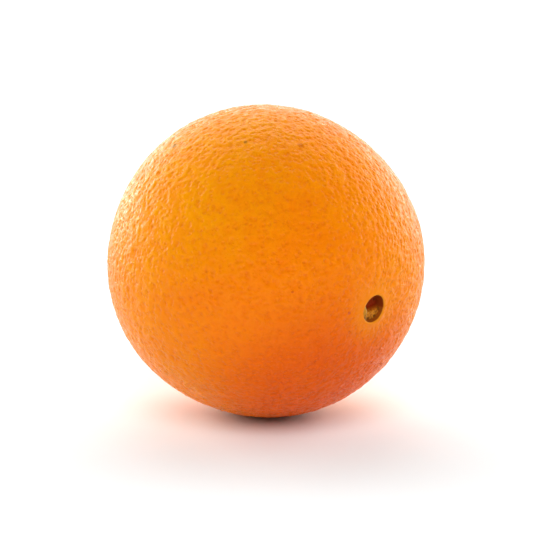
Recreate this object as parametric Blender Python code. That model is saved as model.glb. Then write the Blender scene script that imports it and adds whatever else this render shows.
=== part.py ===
# A whole sweet orange, lying on its side on the small flat spot that it rests on.
# Metres, +Z up. The origin is the middle of the flat spot.
# The fruit is turned in its own frame first, with its stem end at +Z, and then laid down.

from math import asin, cos, exp, pi, radians, sin, sqrt

import bmesh
import bpy
from mathutils import Matrix, Vector

# Size of the fruit.
FRUIT_WIDTH = 0.0800  # across the waist
FRUIT_LENGTH = 0.0820  # from stem end to blossom end, before the two hollows
REST_SPOT_WIDTH = 0.0140  # the flat that the fruit's own weight presses into the peel

# How it lies: the way that the stem end points.
STEM_HEADING = -48.0  # degrees about +Z, from +X
STEM_DIP = 8.0  # degrees below level

# Shallow basin around the stem scar, and the scar where the button came away.
BASIN_WIDTH = 0.0200
BASIN_DEPTH = 0.0011
SCAR_WIDTH = 0.0072
SCAR_DEPTH = 0.0026
SCAR_WALL_SLOPE = 0.0005  # how much narrower the scar's floor is, on each side
SCAR_FLOOR_RISE = 0.0004  # how much higher the floor is in its middle
LIP_WIDTH = 0.0008
LIP_HEIGHT = 0.0002

# Small dimple at the blossom end, opposite the stem.
DIMPLE_WIDTH = 0.0080
DIMPLE_DEPTH = 0.0008

# Where the fruit grew a little fuller or flatter than its oval:
# angle from the stem end, turn about the stem axis, height, and breadth as an angle.
SWELLINGS = (
    (62.0, 95.0, 0.00055, 34.0),
    (70.0, 215.0, 0.00045, 30.0),
    (118.0, 30.0, 0.00060, 32.0),
    (125.0, 160.0, 0.00050, 28.0),
    (100.0, 290.0, 0.00040, 26.0),
    (88.0, 128.0, -0.00050, 22.0),
    (78.0, 330.0, -0.00040, 26.0),
    (140.0, 250.0, -0.00035, 24.0),
)

# Fineness of the mesh.
MERIDIANS = 96
PARALLELS = 44
FLOOR_RINGS = 3
SAME_POINT = 0.000001  # points closer than this are one point
ON_PLANE = 0.00001  # points closer than this to the surface underneath lie on it
RIM_GAP = 0.0006  # points on the flat spot's outline that are closer than this become one
SHARP_EDGE = 40.0  # degrees between faces, from which an edge isn't shaded smooth

PEEL_COLOUR = (0.90, 0.27, 0.01, 1.0)
PEEL_ROUGHNESS = 0.42


def clear_scene():
    for obj in list(bpy.data.objects):
        bpy.data.objects.remove(obj)


def skin_point(angle):
    """The peel's outline at this angle from the stem end, as (distance from the axis, height)."""
    across = FRUIT_WIDTH / 2 * sin(angle)
    along = FRUIT_LENGTH / 2 * cos(angle)
    if along > 0:
        along -= BASIN_DEPTH * exp(-((2 * across / BASIN_WIDTH) ** 2))
    else:
        along += DIMPLE_DEPTH * exp(-((2 * across / DIMPLE_WIDTH) ** 2))
    return across, along


def angle_at(across):
    """The angle from the stem end at which the peel is this far from the axis."""
    return asin(2 * across / FRUIT_WIDTH)


def scar_profile():
    """The stem scar from the peel around it inwards: lip, wall, and the floor up to the axis."""
    rim = SCAR_WIDTH / 2
    foot = rim - SCAR_WALL_SLOPE
    level = skin_point(angle_at(rim))[1]
    floor = level - SCAR_DEPTH
    outline = [(rim + LIP_WIDTH / 2, level + LIP_HEIGHT), (rim, level + LIP_HEIGHT / 2)]
    for ring in range(FLOOR_RINGS + 1):
        share = 1 - ring / FLOOR_RINGS
        outline.append((foot * share, floor + SCAR_FLOOR_RISE * (1 - share**2)))
    return outline


def fruit_profile():
    """Half of the fruit's lengthwise section, from the blossom end round to the middle of the scar."""
    start = angle_at(SCAR_WIDTH / 2 + LIP_WIDTH)
    angles = [pi + (start - pi) * i / PARALLELS for i in range(PARALLELS + 1)]
    return [(0.0, skin_point(pi)[1])] + [skin_point(a) for a in angles[1:]] + scar_profile()


def turned(profile):
    """The profile spun once round the stem axis, as one closed skin."""
    skin = bmesh.new()
    points = [skin.verts.new((across, 0, along)) for across, along in profile]
    edges = [skin.edges.new(pair) for pair in zip(points, points[1:])]
    bmesh.ops.spin(
        skin,
        geom=points + edges,
        cent=(0, 0, 0),
        axis=(0, 0, 1),
        angle=2 * pi,
        steps=MERIDIANS,
        use_merge=True,
    )
    bmesh.ops.remove_doubles(skin, verts=skin.verts, dist=SAME_POINT)
    bmesh.ops.recalc_face_normals(skin, faces=skin.faces)
    return skin


def direction(from_stem, turn):
    return Vector((sin(from_stem) * cos(turn), sin(from_stem) * sin(turn), cos(from_stem)))


def swelling_at(way):
    """How far the peel stands out of its oval in this direction from the middle."""
    total = 0.0
    for from_stem, turn, height, breadth in SWELLINGS:
        centre = direction(radians(from_stem), radians(turn))
        total += height * exp((way.dot(centre) - 1) / (1 - cos(radians(breadth))))
    return total


def grow(skin):
    """Moves the turned skin out to its swellings."""
    for vertex in skin.verts:
        way = vertex.co.normalized()
        vertex.co += way * swelling_at(way)


def lay_down(skin):
    """Turns the fruit onto its side, so low that the flat spot's width is cut at Z = 0."""
    tilt = Matrix.Rotation(radians(90 + STEM_DIP), 4, "Y")
    heading = Matrix.Rotation(radians(STEM_HEADING), 4, "Z")
    bmesh.ops.transform(skin, matrix=heading @ tilt, verts=skin.verts)
    radius = FRUIT_WIDTH / 2
    sink = radius - sqrt(radius**2 - (REST_SPOT_WIDTH / 2) ** 2)
    lowest = min(vertex.co.z for vertex in skin.verts)
    bmesh.ops.translate(skin, vec=(0, 0, -lowest - sink), verts=skin.verts)


def flatten_rest_spot(skin):
    """Cuts the peel at Z = 0 and closes it there with a round flat face around the origin."""
    bmesh.ops.bisect_plane(
        skin,
        geom=skin.verts[:] + skin.edges[:] + skin.faces[:],
        dist=ON_PLANE,
        plane_co=(0, 0, 0),
        plane_no=(0, 0, -1),
        clear_outer=True,
    )
    cut = [vertex for vertex in skin.verts if vertex.is_boundary]
    bmesh.ops.remove_doubles(skin, verts=cut, dist=RIM_GAP)
    rim = [edge for edge in skin.edges if edge.is_boundary]
    spot = bmesh.ops.holes_fill(skin, edges=rim, sides=0)["faces"][0]
    middle = spot.calc_center_median_weighted()
    bmesh.ops.translate(skin, vec=(-middle.x, -middle.y, 0), verts=skin.verts)
    for vertex in spot.verts:
        vertex.co.z = 0
        vertex.co = vertex.co.normalized() * REST_SPOT_WIDTH / 2
    bmesh.ops.recalc_face_normals(skin, faces=skin.faces)


def peel_material():
    material = bpy.data.materials.new("orange_peel")
    material.use_nodes = True
    shader = material.node_tree.nodes["Principled BSDF"]
    shader.inputs["Base Color"].default_value = PEEL_COLOUR
    shader.inputs["Roughness"].default_value = PEEL_ROUGHNESS
    shader.inputs["Metallic"].default_value = 0.0
    return material


def make_orange():
    skin = turned(fruit_profile())
    grow(skin)
    lay_down(skin)
    flatten_rest_spot(skin)
    mesh = bpy.data.meshes.new("orange")
    skin.to_mesh(mesh)
    skin.free()
    mesh.shade_smooth()
    mesh.set_sharp_from_angle(angle=radians(SHARP_EDGE))
    mesh.materials.append(peel_material())
    orange = bpy.data.objects.new("orange", mesh)
    bpy.context.scene.collection.objects.link(orange)


clear_scene()
make_orange()
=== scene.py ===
from math import asin, cos, e, pi, radians, sin, sqrt

import bpy
from mathutils import Matrix, Vector


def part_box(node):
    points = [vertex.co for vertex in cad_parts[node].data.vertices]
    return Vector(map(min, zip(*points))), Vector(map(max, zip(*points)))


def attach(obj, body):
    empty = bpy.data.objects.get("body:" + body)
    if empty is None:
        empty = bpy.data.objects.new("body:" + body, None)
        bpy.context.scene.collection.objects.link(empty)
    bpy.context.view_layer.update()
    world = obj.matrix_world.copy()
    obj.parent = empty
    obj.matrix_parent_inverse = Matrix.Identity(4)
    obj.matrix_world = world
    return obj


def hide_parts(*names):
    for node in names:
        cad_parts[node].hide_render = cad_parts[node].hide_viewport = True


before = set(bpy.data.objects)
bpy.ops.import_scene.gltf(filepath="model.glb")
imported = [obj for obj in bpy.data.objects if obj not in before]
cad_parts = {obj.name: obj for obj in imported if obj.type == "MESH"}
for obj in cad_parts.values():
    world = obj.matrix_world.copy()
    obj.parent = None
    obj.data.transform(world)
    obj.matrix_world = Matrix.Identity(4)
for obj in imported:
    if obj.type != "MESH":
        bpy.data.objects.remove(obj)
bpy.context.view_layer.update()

mm = 0.001


class Wire:
    # a node's output that can stand in a sum, such as 1 - mask * 2
    def __init__(self, board, node, out=0):
        self.board = board
        self.node = node
        self.socket = node.outputs[out]

    def math(self, operation, *others):
        return self.board.math(operation, self, *others)

    def __add__(self, other):
        return self.math("ADD", other)

    def __radd__(self, other):
        return self.board.math("ADD", other, self)

    def __sub__(self, other):
        return self.math("SUBTRACT", other)

    def __rsub__(self, other):
        return self.board.math("SUBTRACT", other, self)

    def __mul__(self, other):
        return self.math("MULTIPLY", other)

    def __rmul__(self, other):
        return self.board.math("MULTIPLY", other, self)

    def __truediv__(self, other):
        return self.math("DIVIDE", other)

    def __rtruediv__(self, other):
        return self.board.math("DIVIDE", other, self)

    def __pow__(self, other):
        return self.math("POWER", other)

    def __rpow__(self, other):
        return self.board.math("POWER", other, self)

    def __neg__(self):
        return self.math("MULTIPLY", -1.0)


class Board:
    # one node tree, and the ways of putting nodes on it
    def __init__(self, tree):
        self.tree = tree

    def put(self, kind, settings=None, sockets=None, out=0):
        node = self.tree.nodes.new(kind)
        for key, value in (settings or {}).items():
            setattr(node, key, value)
        for key, value in (sockets or {}).items():
            if isinstance(value, Wire):
                self.tree.links.new(value.socket, node.inputs[key])
            else:
                node.inputs[key].default_value = value
        return Wire(self, node, out) if node.outputs else node

    def math(self, operation, *values):
        return self.put("ShaderNodeMath", {"operation": operation}, dict(enumerate(values)))

    def vector(self, operation, *values, out=0):
        settings = {"operation": operation}
        return self.put("ShaderNodeVectorMath", settings, dict(enumerate(values)), out)

    def scale(self, vector, factor):
        sockets = {0: vector, "Scale": factor}
        return self.put("ShaderNodeVectorMath", {"operation": "SCALE"}, sockets)

    def xyz(self, x, y, z):
        return self.put("ShaderNodeCombineXYZ", None, {0: x, 1: y, 2: z})

    def split(self, vector):
        node = self.put("ShaderNodeSeparateXYZ", None, {0: vector}).node
        return [Wire(self, node, i) for i in range(3)]

    def ramp(self, value, start, end):
        # 0 at start, 1 at end, eased at both
        settings = {"interpolation_type": "SMOOTHSTEP"}
        sockets = {0: value, 1: start, 2: end, 3: 0.0, 4: 1.0}
        return self.put("ShaderNodeMapRange", settings, sockets)

    def tint(self, factor, low, high):
        def full(colour):
            return colour if isinstance(colour, Wire) else (*colour, 1.0)
        settings = {"data_type": "RGBA"}
        return self.put("ShaderNodeMix", settings, {0: factor, 6: full(low), 7: full(high)}, out=2)

    def bell(self, value, width):
        # 1 in the middle, fading to both sides
        return (-((value / width) ** 2.0)).math("EXPONENT")

    def noise(self, vector, size, detail=2.0):
        sockets = {"Vector": vector, "Scale": 1 / size, "Detail": detail}
        return self.put("ShaderNodeTexNoise", None, sockets)

    def cells(self, vector, spacing, disorder):
        # distance to the nearest cell's middle, in spacings
        sockets = {"Vector": vector, "Scale": 1 / spacing, "Randomness": disorder}
        return self.put("ShaderNodeTexVoronoi", {"feature": "F1"}, sockets)


# the whole fruit, as it grew with its stem end at +Z
orange = {
    "width": 80.0 * mm,
    "length": 82.0 * mm,
    "basinWidth": 20.0 * mm,  # the shallow hollow around the scar
    "basinDepth": 1.1 * mm,
    "dimpleWidth": 8.0 * mm,  # at the blossom end
    "dimpleDepth": 0.8 * mm,
    # where it grew fuller or flatter than an oval: from stem, turn, height, breadth
    "swellings": [
        (62.0, 95.0, 0.55 * mm, 34.0),
        (70.0, 215.0, 0.45 * mm, 30.0),
        (118.0, 30.0, 0.60 * mm, 32.0),
        (125.0, 160.0, 0.50 * mm, 28.0),
        (100.0, 290.0, 0.40 * mm, 26.0),
        (88.0, 128.0, -0.50 * mm, 22.0),
        (78.0, 330.0, -0.40 * mm, 26.0),
        (140.0, 250.0, -0.35 * mm, 24.0),
    ],
    # how it lies
    "spotWidth": 14.0 * mm,  # the flat it rests on
    "spotEdge": 0.25 * mm,  # how softly the flat meets the round
    "stemHeading": -48.0,
    "stemDip": 8.0,
    # fineness of its skin
    "segments": 384,
    "rings": 256,
    "stemRingShare": 0.3,  # ring spacing at the stem end, as a share of the even spacing
    "stemRingEnd": 0.15,  # how far down the fruit the close rings go, 0 to 1
    "stemRingBlend": 0.015,
    "seed": 7.0,
    # where the button came away
    "scar": {
        "width": 7.2 * mm,
        "depth": 2.6 * mm,
        "wallSlope": 0.5 * mm,
        "wallCurve": 1.5,
        "floorRise": 0.3 * mm,
        "lipWidth": 0.8 * mm,
        "lipHeight": 0.2 * mm,
        "roughHeight": 0.14 * mm,
        "roughSize": 0.9 * mm,
        "roughDetail": 3.0,
        # its edge is drawn in, longer one way than the other, and a little three-cornered
        "drawnIn": 0.22 * mm,
        "outOfRound": 0.15 * mm,
        "longTurn": 143.0,
        "corners": 3.0,
        "cornerShare": 0.35,
        # half of its floor is shallower
        "shallowTurn": 5.0,
        "shallowRise": 1.6 * mm,
        "shallowFrom": 0.1 * mm,
        "shallowTo": 0.9 * mm,
        # the scrap of button that stayed on one side, just under the rim
        "shelfTurn": -78.0,
        "shelfBreadth": 42.0,
        "shelfHeight": 2.25 * mm,
        "shelfStart": 1.80 * mm,
        "shelfStep": 0.25 * mm,
        "shelfHook": 2.2 * mm,  # how far its ends draw back to the wall
        "shelfFrom": 0.05,  # how near its middle it starts, and is whole, 0 to 1
        "shelfWhole": 0.35,
        # veins that fed the fruit
        "veins": 8,
        "veinTurn": -14.5,
        "veinRing": 2.70 * mm,
        "veinSize": 0.38 * mm,
        "veinDepth": 0.25 * mm,
        "veinFrom": 0.1,  # how much of each beat round the ring is a vein
        "veinTo": 0.9,
    },
    # oil glands and the pebbled skin
    "pebble": {
        "disorder": 0.85,  # how far the pits stray from an even grid
        "glandSpacing": 1.20 * mm,
        "glandWidth": 0.62,  # share of the spacing
        "glandDepth": 0.13 * mm,
        "dentSpacing": 1.9 * mm,
        "dentWidth": 0.78,
        "dentDepth": 0.19 * mm,
        "swellSize": 3.0 * mm,
        "swellHeight": 0.15 * mm,
        "grainSize": 1.2 * mm,
        "grainHeight": 0.11 * mm,
        # finer than the mesh
        "sharperGlands": 0.20 * mm,
        "sharperDents": 0.10 * mm,
        "sharperGrain": 0.09 * mm,
        "fineSpacing": 0.65 * mm,
        "fineWidth": 0.5,
        "fineDepth": 0.08 * mm,
        "skinSize": 0.35 * mm,
        "skinHeight": 0.02 * mm,
        "skinDetail": 3.0,
        "fadeWidth": 3.0 * mm,  # smoother next to the scar
    },
    "peel": {
        "warm": (0.94, 0.226, 0.0004),
        "sheenFreeAlong": (0.05, -0.97, -0.10),  # warm at both ends of this line, paler between them: the paler sides are a painted sheen
        "sheenFreeFrom": 0.30,
        "sheenFreeTo": 0.90,
        # the paler colour of the sides: a painted sheen
        "pale": (0.94, 0.276, 0.0006),
        # painted light: the upper left side as the fruit lies, paler and yellower
        "litSide": (0.94, 0.330, 0.0010),
        "litSideTowards": (-0.62, -0.33, 0.71),  # as the fruit lies; painted light makes this side paler and yellower
        "litSideFrom": 0.42,
        "litSideTo": 1.00,
        # painted shade: darker and redder towards the lower right front
        "shadedLow": (0.76, 0.094, 0.0002),
        "shadedTowards": (0.35, -0.66, -0.66),
        "shadedFrom": 0.62,
        "shadedTo": 1.02,
        "patchSize": 26.0 * mm,
        "patchShift": 0.45,
        "mottle": (0.92, 0.160, 0.0003),
        "mottleSize": 5.0 * mm,
        "mottleDetail": 3.0,
        "mottleFrom": 0.30,
        "mottleTo": 0.72,
        "mottleShade": 0.24,
        "gland": (0.86, 0.135, 0.0003),
        "glandShade": 0.28,
        "dentShade": 0.16,
        "halo": (0.90, 0.285, 0.003),  # paler round the scar
        "haloWidth": 4.2 * mm,
        "haloShade": 0.5,
        "roughness": 0.28,
        "glandRougher": 0.10,
        "mottleRougher": 0.06,
        "ior": 1.20,
        "subsurface": 0.08,
        "subsurfaceReach": 1.2 * mm,
        "subsurfaceShares": (1.0, 0.35, 0.08),  # of the reach, in red, green and blue
    },
    # small marks that such fruit picks up: from stem, turn, size, strength, colour
    "marks": [
        (79.0, -153.6, 0.9 * mm, 0.75, (0.26, 0.10, 0.004)),
        (107.0, -142.0, 1.9 * mm, 0.70, (0.34, 0.19, 0.02)),
        (65.5, -168.0, 1.4 * mm, 0.60, (0.52, 0.095, 0.004)),
        (34.0, -105.0, 0.6 * mm, 0.65, (0.58, 0.060, 0.004)),
        (11.4, -91.0, 0.9 * mm, 0.80, (0.62, 0.055, 0.002)),
        (76.0, 20.0, 1.0 * mm, 0.60, (0.26, 0.13, 0.02)),
        (112.0, 75.0, 1.6 * mm, 0.35, (0.50, 0.22, 0.04)),
        (130.0, -20.0, 0.7 * mm, 0.70, (0.24, 0.09, 0.01)),
        (58.0, 120.0, 0.8 * mm, 0.60, (0.30, 0.10, 0.01)),
        (180.0, 0.0, 1.6 * mm, 0.80, (0.30, 0.11, 0.015)),  # where the flower stood
    ],
    "raggedSize": 0.5 * mm,  # of the marks' edges
    "raggedDetail": 3.0,
    "raggedness": 0.9,
    "markEdge": 0.75,  # where a mark fades in and is full, as shares of its size
    "markHeart": 0.2,
    # colours inside the scar, each with how strongly it covers what lies under it
    "wound": {
        "startDepth": 0.03,  # shares of the scar's depth between which its colours take over
        "fullDepth": 0.12,
        "floor": (0.60, 0.210, 0.010),
        "floorDark": (0.34, 0.095, 0.005),
        "floorFrom": 0.32,  # which of the crumbs are dark, and which light
        "floorTo": 0.58,
        # darker red of the deeper half: partly its own colour, partly painted shade
        "hollow": (0.34, 0.022, 0.002),
        "hollowShade": 0.75,
        "hollowCrumbs": 0.4,
        # dark red-brown: partly the wall's own colour, partly painted shade; also the colour of the
        # scrap's speckles and of the painted shadow under the rim
        "wall": (0.23, 0.038, 0.003),
        "wallShade": 0.7,
        "wallBlend": 0.2 * mm,
        "vein": (0.10, 0.022, 0.002),
        "veinShade": 0.85,
        "stepShadow": (0.50, 0.055, 0.002),  # painted shade: the dark line along the foot of the scrap's edge
        "stepShadowStrength": 0.8,
        "stepShadowAt": -0.25 * mm,
        "stepShadowWidth": 0.25 * mm,
        "scrap": (0.60, 0.255, 0.012),
        "scrapShade": 0.95,
        "scrapSpeckle": 0.5,
        "speckleFrom": 0.52,
        "speckleTo": 0.40,
        "edge": (0.74, 0.44, 0.15),  # the pale line just inside it
        "edgeShade": 0.9,
        "edgeAt": 0.22 * mm,
        "edgeWidth": 0.16 * mm,
        "nick": (0.12, 0.025, 0.003),  # a dark spot at one end of the scrap
        "nickShade": 0.85,
        "nickTurn": -46.0,
        "nickBreadth": 13.0,
        # painted shadow: a dark band just under the scar's edge
        "rimShadowStrength": 0.6,
        "rimShadowAt": -0.12 * mm,
        "rimShadowWidth": 0.14 * mm,
        # painted highlight: a paler line along the scar's edge
        "rim": (0.70, 0.300, 0.020),
        "rimHighlightStrength": 0.45,
        "rimWidth": 0.30 * mm,
        "crumbSize": 0.6 * mm,
        "crumbDetail": 4.0,
        "crumbHeight": 0.10 * mm,
        "roughness": 0.62,
    },
}
scar, pebble, peel, wound = orange["scar"], orange["pebble"], orange["peel"], orange["wound"]

# lengths along the skin, from the middle of the scar
rim = scar["width"] / 2
foot = rim - scar["wallSlope"]
wallLength = sqrt(scar["wallSlope"] ** 2 + scar["depth"] ** 2)


def way(fromStem, turn):
    a = radians(fromStem)
    t = radians(turn)
    return (sin(a) * cos(t), sin(a) * sin(t), cos(a))


def asGrown(towards):
    # a direction from the lying fruit, in the frame that it grew in
    laid = Matrix.Rotation(radians(orange["stemHeading"]), 3, "Z")
    laid = laid @ Matrix.Rotation(radians(90 + orange["stemDip"]), 3, "Y")
    return tuple((laid.inverted() @ Vector(towards)).normalized())


def stemPlaces(board, point):
    # how far a point is from the stem axis, its turn about it, and how high up it
    x, y, z = board.split(point)
    across = (x * x + y * y).math("SQRT")
    return across, y.math("ARCTAN2", x), z


def turnedFrom(turn, middle):
    # the turn away from a middle, wrapped to half a turn each way
    return (turn - radians(middle)).math("WRAP", pi, -pi)


def seeded(board, vector):
    # the seed slides the whole pattern
    return board.vector("ADD", vector, (orange["seed"],) * 3)


def rimNudge(board, across, turn):
    # how far the scar's edge lies from a true circle
    near = board.bell(across, scar["width"]) * (across / rim).math("MINIMUM", 1.0)
    longer = (turnedFrom(turn, scar["longTurn"]) * 2.0).math("COSINE")
    longer = longer + (turn * scar["corners"]).math("SINE") * scar["cornerShare"]
    return near * (longer * scar["outOfRound"] - scar["drawnIn"])


def shallowPart(board, across, turn):
    down = across * turnedFrom(turn, scar["shallowTurn"]).math("COSINE")
    return board.ramp(down, scar["shallowFrom"], scar["shallowTo"])


def scrapPlaces(board, across, turn):
    # how much scrap there is at this turn, and how far inside its edge a point is
    side = board.bell(turnedFrom(turn, scar["shelfTurn"]), radians(scar["shelfBreadth"]))
    edge = scar["shelfStart"] + (1 - side) * scar["shelfHook"]
    return board.ramp(side, scar["shelfFrom"], scar["shelfWhole"]), across - edge


def veinDots(board, across, turn):
    beat = (turnedFrom(turn, scar["veinTurn"]) * float(scar["veins"])).math("COSINE")
    dots = board.ramp(beat, scar["veinFrom"], scar["veinTo"])
    return board.bell(across - scar["veinRing"], scar["veinSize"]) * dots


def pits(board, pattern, kind):
    # 1 in the middle of each round pit of the kind "gland", "dent" or "fine"
    apart = board.cells(pattern, pebble[kind + "Spacing"], pebble["disorder"])
    return board.ramp(apart, pebble[kind + "Width"], 0.0)


def closeRings(down):
    # 0 to 1 from the stem to the blossom end, with the rings closer together over the scar
    share, end, blend = orange["stemRingShare"], orange["stemRingEnd"], orange["stemRingBlend"]
    later = share + (1 - share) / (1 - end)
    bend = (1 + ((down - end) / blend).math("EXPONENT")).math("LOGARITHM", e)
    return down * share + bend * ((later - share) * blend)


def peelOutline(board, size, angle, beyond):
    # the oval with its two hollows and the lip round the scar
    across = size["Width"] / 2 * angle.math("SINE")
    up = size["Length"] / 2 * angle.math("COSINE")
    stemHalf = angle.math("LESS_THAN", pi / 2)
    up = up - size["Basin Depth"] * board.bell(across, size["Basin Width"] / 2) * stemHalf
    up = up + size["Dimple Depth"] * board.bell(across, size["Dimple Width"] / 2) * (1 - stemHalf)
    lip = board.bell(beyond - scar["lipWidth"] / 2, scar["lipWidth"] / 2)
    return across, up + size["Lip Height"] * lip


def pitOutline(board, size, path, turn, peelUp):
    # the floor and wall of the scar: its dome, shallow half, veins and scrap of button
    onFloor = path.math("MINIMUM", foot)
    upWall = ((path - foot) / wallLength).math("MINIMUM", 1.0).math("MAXIMUM", 0.0)
    across = onFloor + upWall * scar["wallSlope"]
    lowest = peelUp - size["Scar Depth"]
    up = lowest + upWall ** scar["wallCurve"] * size["Scar Depth"]
    up = up + (1 - (onFloor / foot) ** 2.0) * scar["floorRise"]
    up = up + shallowPart(board, across, turn) * (1 - upWall) * scar["shallowRise"]
    up = up - veinDots(board, across, turn) * scar["veinDepth"]
    present, onScrap = scrapPlaces(board, across, turn)
    scrap = board.ramp(onScrap, 0.0, scar["shelfStep"]) * present
    return across, up.math("MAXIMUM", lowest + scrap * scar["shelfHeight"])


def swollen(board, outward):
    height = 0.0
    for fromStem, turn, bump, breadth in orange["swellings"]:
        dot = board.vector("DOT_PRODUCT", outward, way(fromStem, turn), out=1)
        height = height + ((dot - 1.0) / (1 - cos(radians(breadth)))).math("EXPONENT") * bump
    return height


def skinRelief(board, size, grown, beyond, outside):
    # glands and pebbles on the peel, crumbs in the scar
    pattern = seeded(board, grown)
    swell = board.noise(pattern, pebble["swellSize"]) - 0.5
    grain = board.noise(pattern, pebble["grainSize"]) - 0.5
    relief = swell * 2.0 * size["Swell Height"] + grain * 2.0 * size["Grain Height"]
    relief = relief - pits(board, pattern, "gland") * size["Gland Depth"]
    relief = relief - pits(board, pattern, "dent") * size["Dent Depth"]
    crumbs = board.noise(pattern, scar["roughSize"], scar["roughDetail"]) - 0.5
    crumbs = crumbs * 2.0 * scar["roughHeight"]
    return relief * board.ramp(beyond, 0.0, pebble["fadeWidth"]) + crumbs * (1 - outside)


def laidDown(board, size, upright):
    # turned onto its side and pressed flat where it rests
    turnedOver = (0.0, radians(90 + orange["stemDip"]), radians(orange["stemHeading"]))
    laid = board.put("GeometryNodeTransform", None, {"Geometry": upright, "Rotation": turnedOver})
    low = board.split(board.put("GeometryNodeBoundBox", None, {"Geometry": laid}, out="Min"))[2]
    radius = size["Width"] / 2
    half = size["Spot Width"] / 2
    sink = radius - (radius * radius - half * half).math("SQRT")
    x, y, z = board.split(board.put("GeometryNodeInputPosition"))
    height = (z - low - sink).math("SMOOTH_MAX", 0.0, orange["spotEdge"])
    placed = {"Geometry": laid, "Position": board.xyz(x, y, height)}
    return board.put("GeometryNodeSetPosition", None, placed)


def growFruit(material):
    tree = bpy.data.node_groups.new("growOrange", "GeometryNodeTree")
    tree.interface.new_socket("Geometry", in_out="OUTPUT", socket_type="NodeSocketGeometry")
    tree.interface.new_socket("Geometry", in_out="INPUT", socket_type="NodeSocketGeometry")
    named = {
        "Width": orange["width"], "Length": orange["length"],
        "Basin Width": orange["basinWidth"], "Basin Depth": orange["basinDepth"],
        "Dimple Width": orange["dimpleWidth"], "Dimple Depth": orange["dimpleDepth"],
        "Spot Width": orange["spotWidth"],
        "Scar Depth": scar["depth"], "Lip Height": scar["lipHeight"],
        "Gland Depth": pebble["glandDepth"], "Swell Height": pebble["swellHeight"],
        "Grain Height": pebble["grainHeight"], "Dent Depth": pebble["dentDepth"],
    }
    identifiers = {}
    for name in named:
        socket = tree.interface.new_socket(name, in_out="INPUT", socket_type="NodeSocketFloat")
        identifiers[name] = socket.identifier
    board = Board(tree)
    entry = tree.nodes.new("NodeGroupInput")
    size = {name: Wire(board, entry, name) for name in named}

    # each ring of a ball moves to its own place along the skin
    ball = board.put("GeometryNodeMeshUVSphere", None,
                     {"Segments": orange["segments"], "Rings": orange["rings"], "Radius": 1.0})
    across, turn, up = stemPlaces(board, board.put("GeometryNodeInputPosition"))
    radius = orange["width"] / 2
    rimAngle = asin(rim / radius)
    skinLength = foot + wallLength + radius * (pi - rimAngle)
    path = closeRings(across.math("ARCTAN2", up) / pi) * skinLength
    beyond = (path - foot - wallLength).math("MAXIMUM", 0.0)
    outside = path.math("GREATER_THAN", foot + wallLength)
    angle = (rimAngle + beyond / radius).math("MINIMUM", pi)

    peelAcross, peelUp = peelOutline(board, size, angle, beyond)
    pitAcross, pitUp = pitOutline(board, size, path, turn, peelUp)
    pitDepth = (peelUp - pitUp) / size["Scar Depth"] * (1 - outside)
    across = peelAcross * outside + pitAcross * (1 - outside)
    up = peelUp * outside + pitUp * (1 - outside)
    across = across + rimNudge(board, across, turn)
    point = board.xyz(across * turn.math("COSINE"), across * turn.math("SINE"), up)
    outward = board.vector("NORMALIZE", point)
    grown = board.vector("ADD", point, board.scale(outward, swollen(board, outward)))
    relief = skinRelief(board, size, grown, beyond, outside)
    skin = board.vector("ADD", grown, board.scale(outward, relief))

    # every point of the peel remembers where it grew, so that its colours stay put
    placed = board.put("GeometryNodeStoreNamedAttribute",
                       {"data_type": "FLOAT_VECTOR", "domain": "POINT"},
                       {"Geometry": ball, "Name": "growPoint", "Value": grown})
    deepened = board.put("GeometryNodeStoreNamedAttribute",
                         {"data_type": "FLOAT", "domain": "POINT"},
                         {"Geometry": placed, "Name": "pitDepth", "Value": pitDepth})
    shaped = board.put("GeometryNodeSetPosition", None, {"Geometry": deepened, "Position": skin})
    laid = laidDown(board, size, shaped)
    smooth = board.put("GeometryNodeSetShadeSmooth", None, {"Geometry": laid})
    real = board.put("GeometryNodeRealizeInstances", None, {"Geometry": smooth})
    painted = board.put("GeometryNodeSetMaterial", None, {"Geometry": real, "Material": material})
    tree.links.new(painted.socket, tree.nodes.new("NodeGroupOutput").inputs[0])
    return tree, {identifiers[name]: value for name, value in named.items()}


def makeFruit(material):
    tree, values = growFruit(material)
    seedling = bpy.data.objects.new("seedling", bpy.data.meshes.new("seedling"))
    bpy.context.scene.collection.objects.link(seedling)
    modifier = seedling.modifiers.new("grow", "NODES")
    modifier.node_group = tree
    for identifier, value in values.items():
        modifier[identifier] = value
    ready = seedling.evaluated_get(bpy.context.evaluated_depsgraph_get())
    mesh = bpy.data.meshes.new_from_object(ready)
    bpy.data.objects.remove(seedling)
    mesh.name = "orange_fruit"

    # set over the same place as the frame's fruit
    low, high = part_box("orange")
    xs = [v.co.x for v in mesh.vertices]
    ys = [v.co.y for v in mesh.vertices]
    middle = (low + high) / 2
    shift = Vector((middle.x - (min(xs) + max(xs)) / 2, middle.y - (min(ys) + max(ys)) / 2, 0))
    mesh.transform(Matrix.Translation(shift))
    piece = bpy.data.objects.new("orange_fruit", mesh)
    bpy.context.scene.collection.objects.link(piece)
    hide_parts("orange")
    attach(piece, "root")
    print("fruit:", len(mesh.polygons), "faces, moved by", [round(v / mm, 2) for v in shift], "mm")


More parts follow.
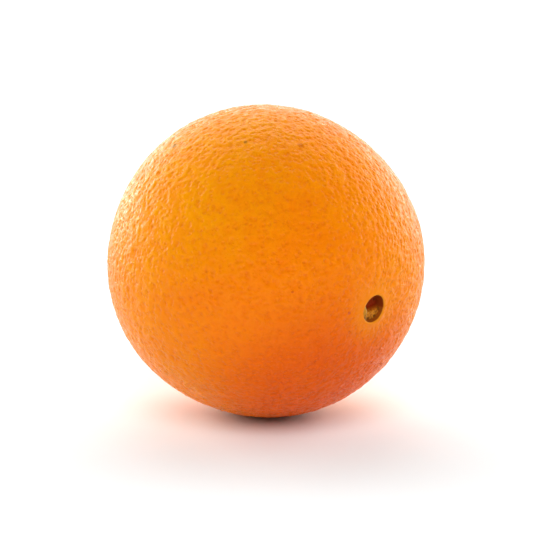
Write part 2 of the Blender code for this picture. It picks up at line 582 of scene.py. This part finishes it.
def peelColour(board, point, outward, mottle, dots):
    # paler sides as a painted sheen, a paler upper left side as painted light and a darker lower
    # right as painted shade, then mottling and a darker dot over each gland
    # painted light on the upper left side, its border shifted by a noise patch
    patch = (board.noise(point, peel["patchSize"]) - 0.5) * peel["patchShift"]
    litShare = board.vector("DOT_PRODUCT", outward, asGrown(peel["litSideTowards"]), out=1) + patch
    # painted sheen: the sides between front and back get the paler colour
    warm = board.vector("DOT_PRODUCT", outward, asGrown(peel["sheenFreeAlong"]), out=1) ** 2.0
    warm = board.ramp(warm, peel["sheenFreeFrom"], peel["sheenFreeTo"])
    colour = board.tint(warm, peel["pale"], peel["warm"])
    colour = board.tint(board.ramp(litShare, peel["litSideFrom"], peel["litSideTo"]), colour, peel["litSide"])
    # painted shade towards the lower right front
    shade = board.vector("DOT_PRODUCT", outward, asGrown(peel["shadedTowards"]), out=1)
    colour = board.tint(board.ramp(shade, peel["shadedFrom"], peel["shadedTo"]), colour, peel["shadedLow"])
    colour = board.tint(mottle * peel["mottleShade"], colour, peel["mottle"])
    return board.tint(dots, colour, peel["gland"])


def markedColour(board, point, outward, colour):
    ragged = board.noise(point, orange["raggedSize"], orange["raggedDetail"]) - 0.5
    ragged = ragged * orange["raggedness"]
    for fromStem, turn, size, strength, shade in orange["marks"]:
        apart = board.vector("DISTANCE", outward, way(fromStem, turn), out=1)
        apart = apart * (orange["width"] / 2)
        inMark = board.ramp(apart / size + ragged, orange["markEdge"], orange["markHeart"])
        colour = board.tint(inMark * strength, colour, shade)
    return colour


def scarColour(board, across, turn, fromRim, crumbs):
    # a golden crumbly floor, a red hollow that is partly painted shade, dark veins, and the scrap
    # with its pale edge; painted shade also darkens the wall, the foot of the scrap's step and the
    # band under the rim
    light = board.ramp(crumbs, wound["floorFrom"], wound["floorTo"])
    colour = board.tint(light, wound["floorDark"], wound["floor"])
    # the deeper half turns darker red: partly own colour, partly painted shade
    hollow = 1 - shallowPart(board, across, turn)
    crumbly = wound["hollowShade"] + crumbs * wound["hollowCrumbs"]
    colour = board.tint(hollow * crumbly, colour, wound["hollow"])
    # the wall darker: partly own colour, partly painted shade
    wall = board.ramp(fromRim + rim, foot - wound["wallBlend"], foot + wound["wallBlend"])
    colour = board.tint(wall * wound["wallShade"], colour, wound["wall"])
    colour = board.tint(veinDots(board, across, turn) * wound["veinShade"], colour, wound["vein"])

    present, onScrap = scrapPlaces(board, across, turn)
    # painted shade along the foot of the scrap's step
    stepShadow = board.bell(onScrap - wound["stepShadowAt"], wound["stepShadowWidth"]) * present
    colour = board.tint(stepShadow * wound["stepShadowStrength"], colour, wound["stepShadow"])
    scrap = board.ramp(onScrap, 0.0, scar["shelfStep"]) * present
    colour = board.tint(scrap * wound["scrapShade"], colour, wound["scrap"])
    speckle = scrap * board.ramp(crumbs, wound["speckleFrom"], wound["speckleTo"])
    colour = board.tint(speckle * wound["scrapSpeckle"], colour, wound["wall"])
    nick = board.bell(turnedFrom(turn, wound["nickTurn"]), radians(wound["nickBreadth"])) * scrap
    colour = board.tint(nick * wound["nickShade"], colour, wound["nick"])
    edge = board.bell(onScrap - wound["edgeAt"], wound["edgeWidth"]) * present
    colour = board.tint(edge * wound["edgeShade"], colour, wound["edge"])
    # painted shadow just under the scar's edge
    rimShadow = board.bell(fromRim - wound["rimShadowAt"], wound["rimShadowWidth"])
    return board.tint(rimShadow * wound["rimShadowStrength"], colour, wound["wall"])


def peelMaterial():
    material = bpy.data.materials.new("orangePeel")
    material.use_nodes = True
    material.node_tree.nodes.clear()
    board = Board(material.node_tree)
    grown = board.put("ShaderNodeAttribute", {"attribute_name": "growPoint"}, out="Vector")
    pitDepth = board.put("ShaderNodeAttribute", {"attribute_name": "pitDepth"}, out="Fac")
    point = seeded(board, grown)
    outward = board.vector("NORMALIZE", grown)
    across, turn, up = stemPlaces(board, grown)
    blossomHalf = up.math("LESS_THAN", 0.0)  # the scar's rings aren't painted there
    fromRim = across - rim - rimNudge(board, across, turn) + blossomHalf
    away = board.ramp(fromRim, 0.0, pebble["fadeWidth"])
    inside = board.ramp(pitDepth, wound["startDepth"], wound["fullDepth"])
    crumbs = board.noise(point, wound["crumbSize"], wound["crumbDetail"])
    gland = pits(board, point, "gland")
    dent = pits(board, point, "dent")
    mottle = board.noise(point, peel["mottleSize"], peel["mottleDetail"])
    mottle = board.ramp(mottle, peel["mottleFrom"], peel["mottleTo"])

    dots = gland * peel["glandShade"] + dent * peel["dentShade"]
    colour = peelColour(board, point, outward, mottle, dots * away)
    halo = board.bell(fromRim.math("MAXIMUM", 0.0), peel["haloWidth"])
    colour = board.tint(halo * peel["haloShade"], colour, peel["halo"])
    colour = markedColour(board, point, outward, colour)
    # painted highlight along the scar's edge
    rimHighlight = board.bell(fromRim, wound["rimWidth"])
    colour = board.tint(rimHighlight * wound["rimHighlightStrength"], colour, wound["rim"])
    colour = board.tint(inside, colour, scarColour(board, across, turn, fromRim, crumbs))

    # relief finer than the mesh
    grain = board.noise(point, pebble["grainSize"]) * 2.0 * pebble["sharperGrain"]
    pores = grain - gland * pebble["sharperGlands"] - dent * pebble["sharperDents"]
    pores = pores - pits(board, point, "fine") * pebble["fineDepth"]
    height = board.noise(point, pebble["skinSize"], pebble["skinDetail"]) * pebble["skinHeight"]
    height = height + pores * away + crumbs * inside * wound["crumbHeight"]
    normal = board.put("ShaderNodeBump", None, {"Height": height, "Distance": 1.0, "Strength": 1.0})

    roughness = peel["roughness"] + gland * peel["glandRougher"]
    roughness = roughness + (mottle - 0.5) * peel["mottleRougher"]
    roughness = roughness * (1 - inside) + inside * wound["roughness"]
    shader = board.put("ShaderNodeBsdfPrincipled", None, {
        "Base Color": colour,
        "Roughness": roughness,
        "Normal": normal,
        "IOR": peel["ior"],
        "Subsurface Weight": peel["subsurface"],
        "Subsurface Radius": peel["subsurfaceShares"],
        "Subsurface Scale": peel["subsurfaceReach"],
    })
    board.put("ShaderNodeOutputMaterial", None, {"Surface": shader})
    return material


table = {
    "colour": (0.89, 0.93, 0.935),
    "roughness": 0.8,
    "shine": 0.1,
    "width": 12.0,
    "drop": 0.2 * mm,  # below the fruit, so that the two never share a surface
}


def makeTable():
    half = table["width"] / 2
    low = -table["drop"]
    mesh = bpy.data.meshes.new("table_top")
    corners = [(-half, -half, low), (half, -half, low), (half, half, low), (-half, half, low)]
    mesh.from_pydata(corners, [], [(0, 1, 2, 3)])
    top = bpy.data.objects.new("table_top", mesh)
    bpy.context.scene.collection.objects.link(top)
    material = bpy.data.materials.new("paleTable")
    material.use_nodes = True
    shader = material.node_tree.nodes["Principled BSDF"]
    shader.inputs["Base Color"].default_value = (*table["colour"], 1.0)
    shader.inputs["Roughness"].default_value = table["roughness"]
    shader.inputs["Specular IOR Level"].default_value = table["shine"]
    mesh.materials.append(material)


# a white tent that is open and dim on the side that the fruit is seen from
tent = {
    "openTowards": (0.0, -0.98, 0.20),
    "openFrom": -0.35,
    "openTo": 0.15,
    "back": 0.75,
    "front": 0.15,
    # a brighter ring behind the fruit puts a sheen on its edges,
    # the more so near the table and on the left
    "ringGlow": 1.25,
    "ringAt": -0.67,
    "ringWidth": 0.28,
    "ringLeftExtra": 0.35,
    "ringLowExtra": 5.0,
    "ringLowWidth": 0.20,
}


def makeTent():
    world = bpy.data.worlds.new("whiteTent")
    world.use_nodes = True
    world.node_tree.nodes.clear()
    board = Board(world.node_tree)
    towards = board.put("ShaderNodeTexCoord", out="Generated")
    facing = board.vector("DOT_PRODUCT", towards, tent["openTowards"], out=1)
    opening = board.ramp(facing, tent["openFrom"], tent["openTo"])
    strength = tent["back"] * (1 - opening) + tent["front"] * opening
    ring = board.bell(facing - tent["ringAt"], tent["ringWidth"])
    sideways, _, up = board.split(towards)
    low = board.bell(up, tent["ringLowWidth"])
    ring = ring * tent["ringGlow"] * (1 - sideways * tent["ringLeftExtra"])
    strength = strength + ring * (1 + low * tent["ringLowExtra"])
    seen = board.put("ShaderNodeLightPath", out="Is Camera Ray")
    strength = strength * (1 - seen) + seen  # plain white behind the fruit
    glow = board.put("ShaderNodeBackground", None, {"Color": (1, 1, 1, 1), "Strength": strength})
    board.put("ShaderNodeOutputWorld", None, {"Surface": glow})
    bpy.context.scene.world = world


lamps = {
    "softness": 40.0,
    # name, where it shines from, strength
    "set": [
        ("keyLamp", (0.02, -0.72, 0.69), 1.72),
        ("leftLamp", (-0.80, 0.52, 0.30), 1.45),
        ("rightLamp", (0.80, 0.52, 0.30), 1.25),
        ("topLamp", (-0.05, 0.60, 0.80), 0.5),
    ],
}


def makeLamps():
    for name, place, strength in lamps["set"]:
        light = bpy.data.lights.new(name, "SUN")
        light.energy = strength
        light.angle = radians(lamps["softness"])
        lamp = bpy.data.objects.new(name, light)
        lamp.rotation_euler = Vector(place).to_track_quat("Z", "Y").to_euler()
        lamp.visible_glossy = False  # only the tent and the table are mirrored in the peel
        bpy.context.scene.collection.objects.link(lamp)


view = {
    "elevation": 12.0,
    "lens": 130.0,
    "distance": 495.0 * mm,
    "aimHeight": 38.0 * mm,
    "nearest": 10.0 * mm,
}


def makeCamera():
    lens = bpy.data.cameras.new("camera")
    lens.lens = view["lens"]
    lens.clip_start = view["nearest"]
    camera = bpy.data.objects.new("camera", lens)
    tilt = radians(view["elevation"])
    back = Vector((0, -cos(tilt), sin(tilt)))
    camera.location = Vector((0, 0, view["aimHeight"])) + back * view["distance"]
    camera.rotation_euler = (-back).to_track_quat("-Z", "Y").to_euler()
    bpy.context.scene.collection.objects.link(camera)
    bpy.context.scene.camera = camera


print("peel colours")
orangePeel = peelMaterial()
print("growing the fruit")
makeFruit(orangePeel)
print("table, tent, lamps and camera")
makeTable()
makeTent()
makeLamps()
makeCamera()
bpy.context.scene.view_settings.view_transform = "Standard"
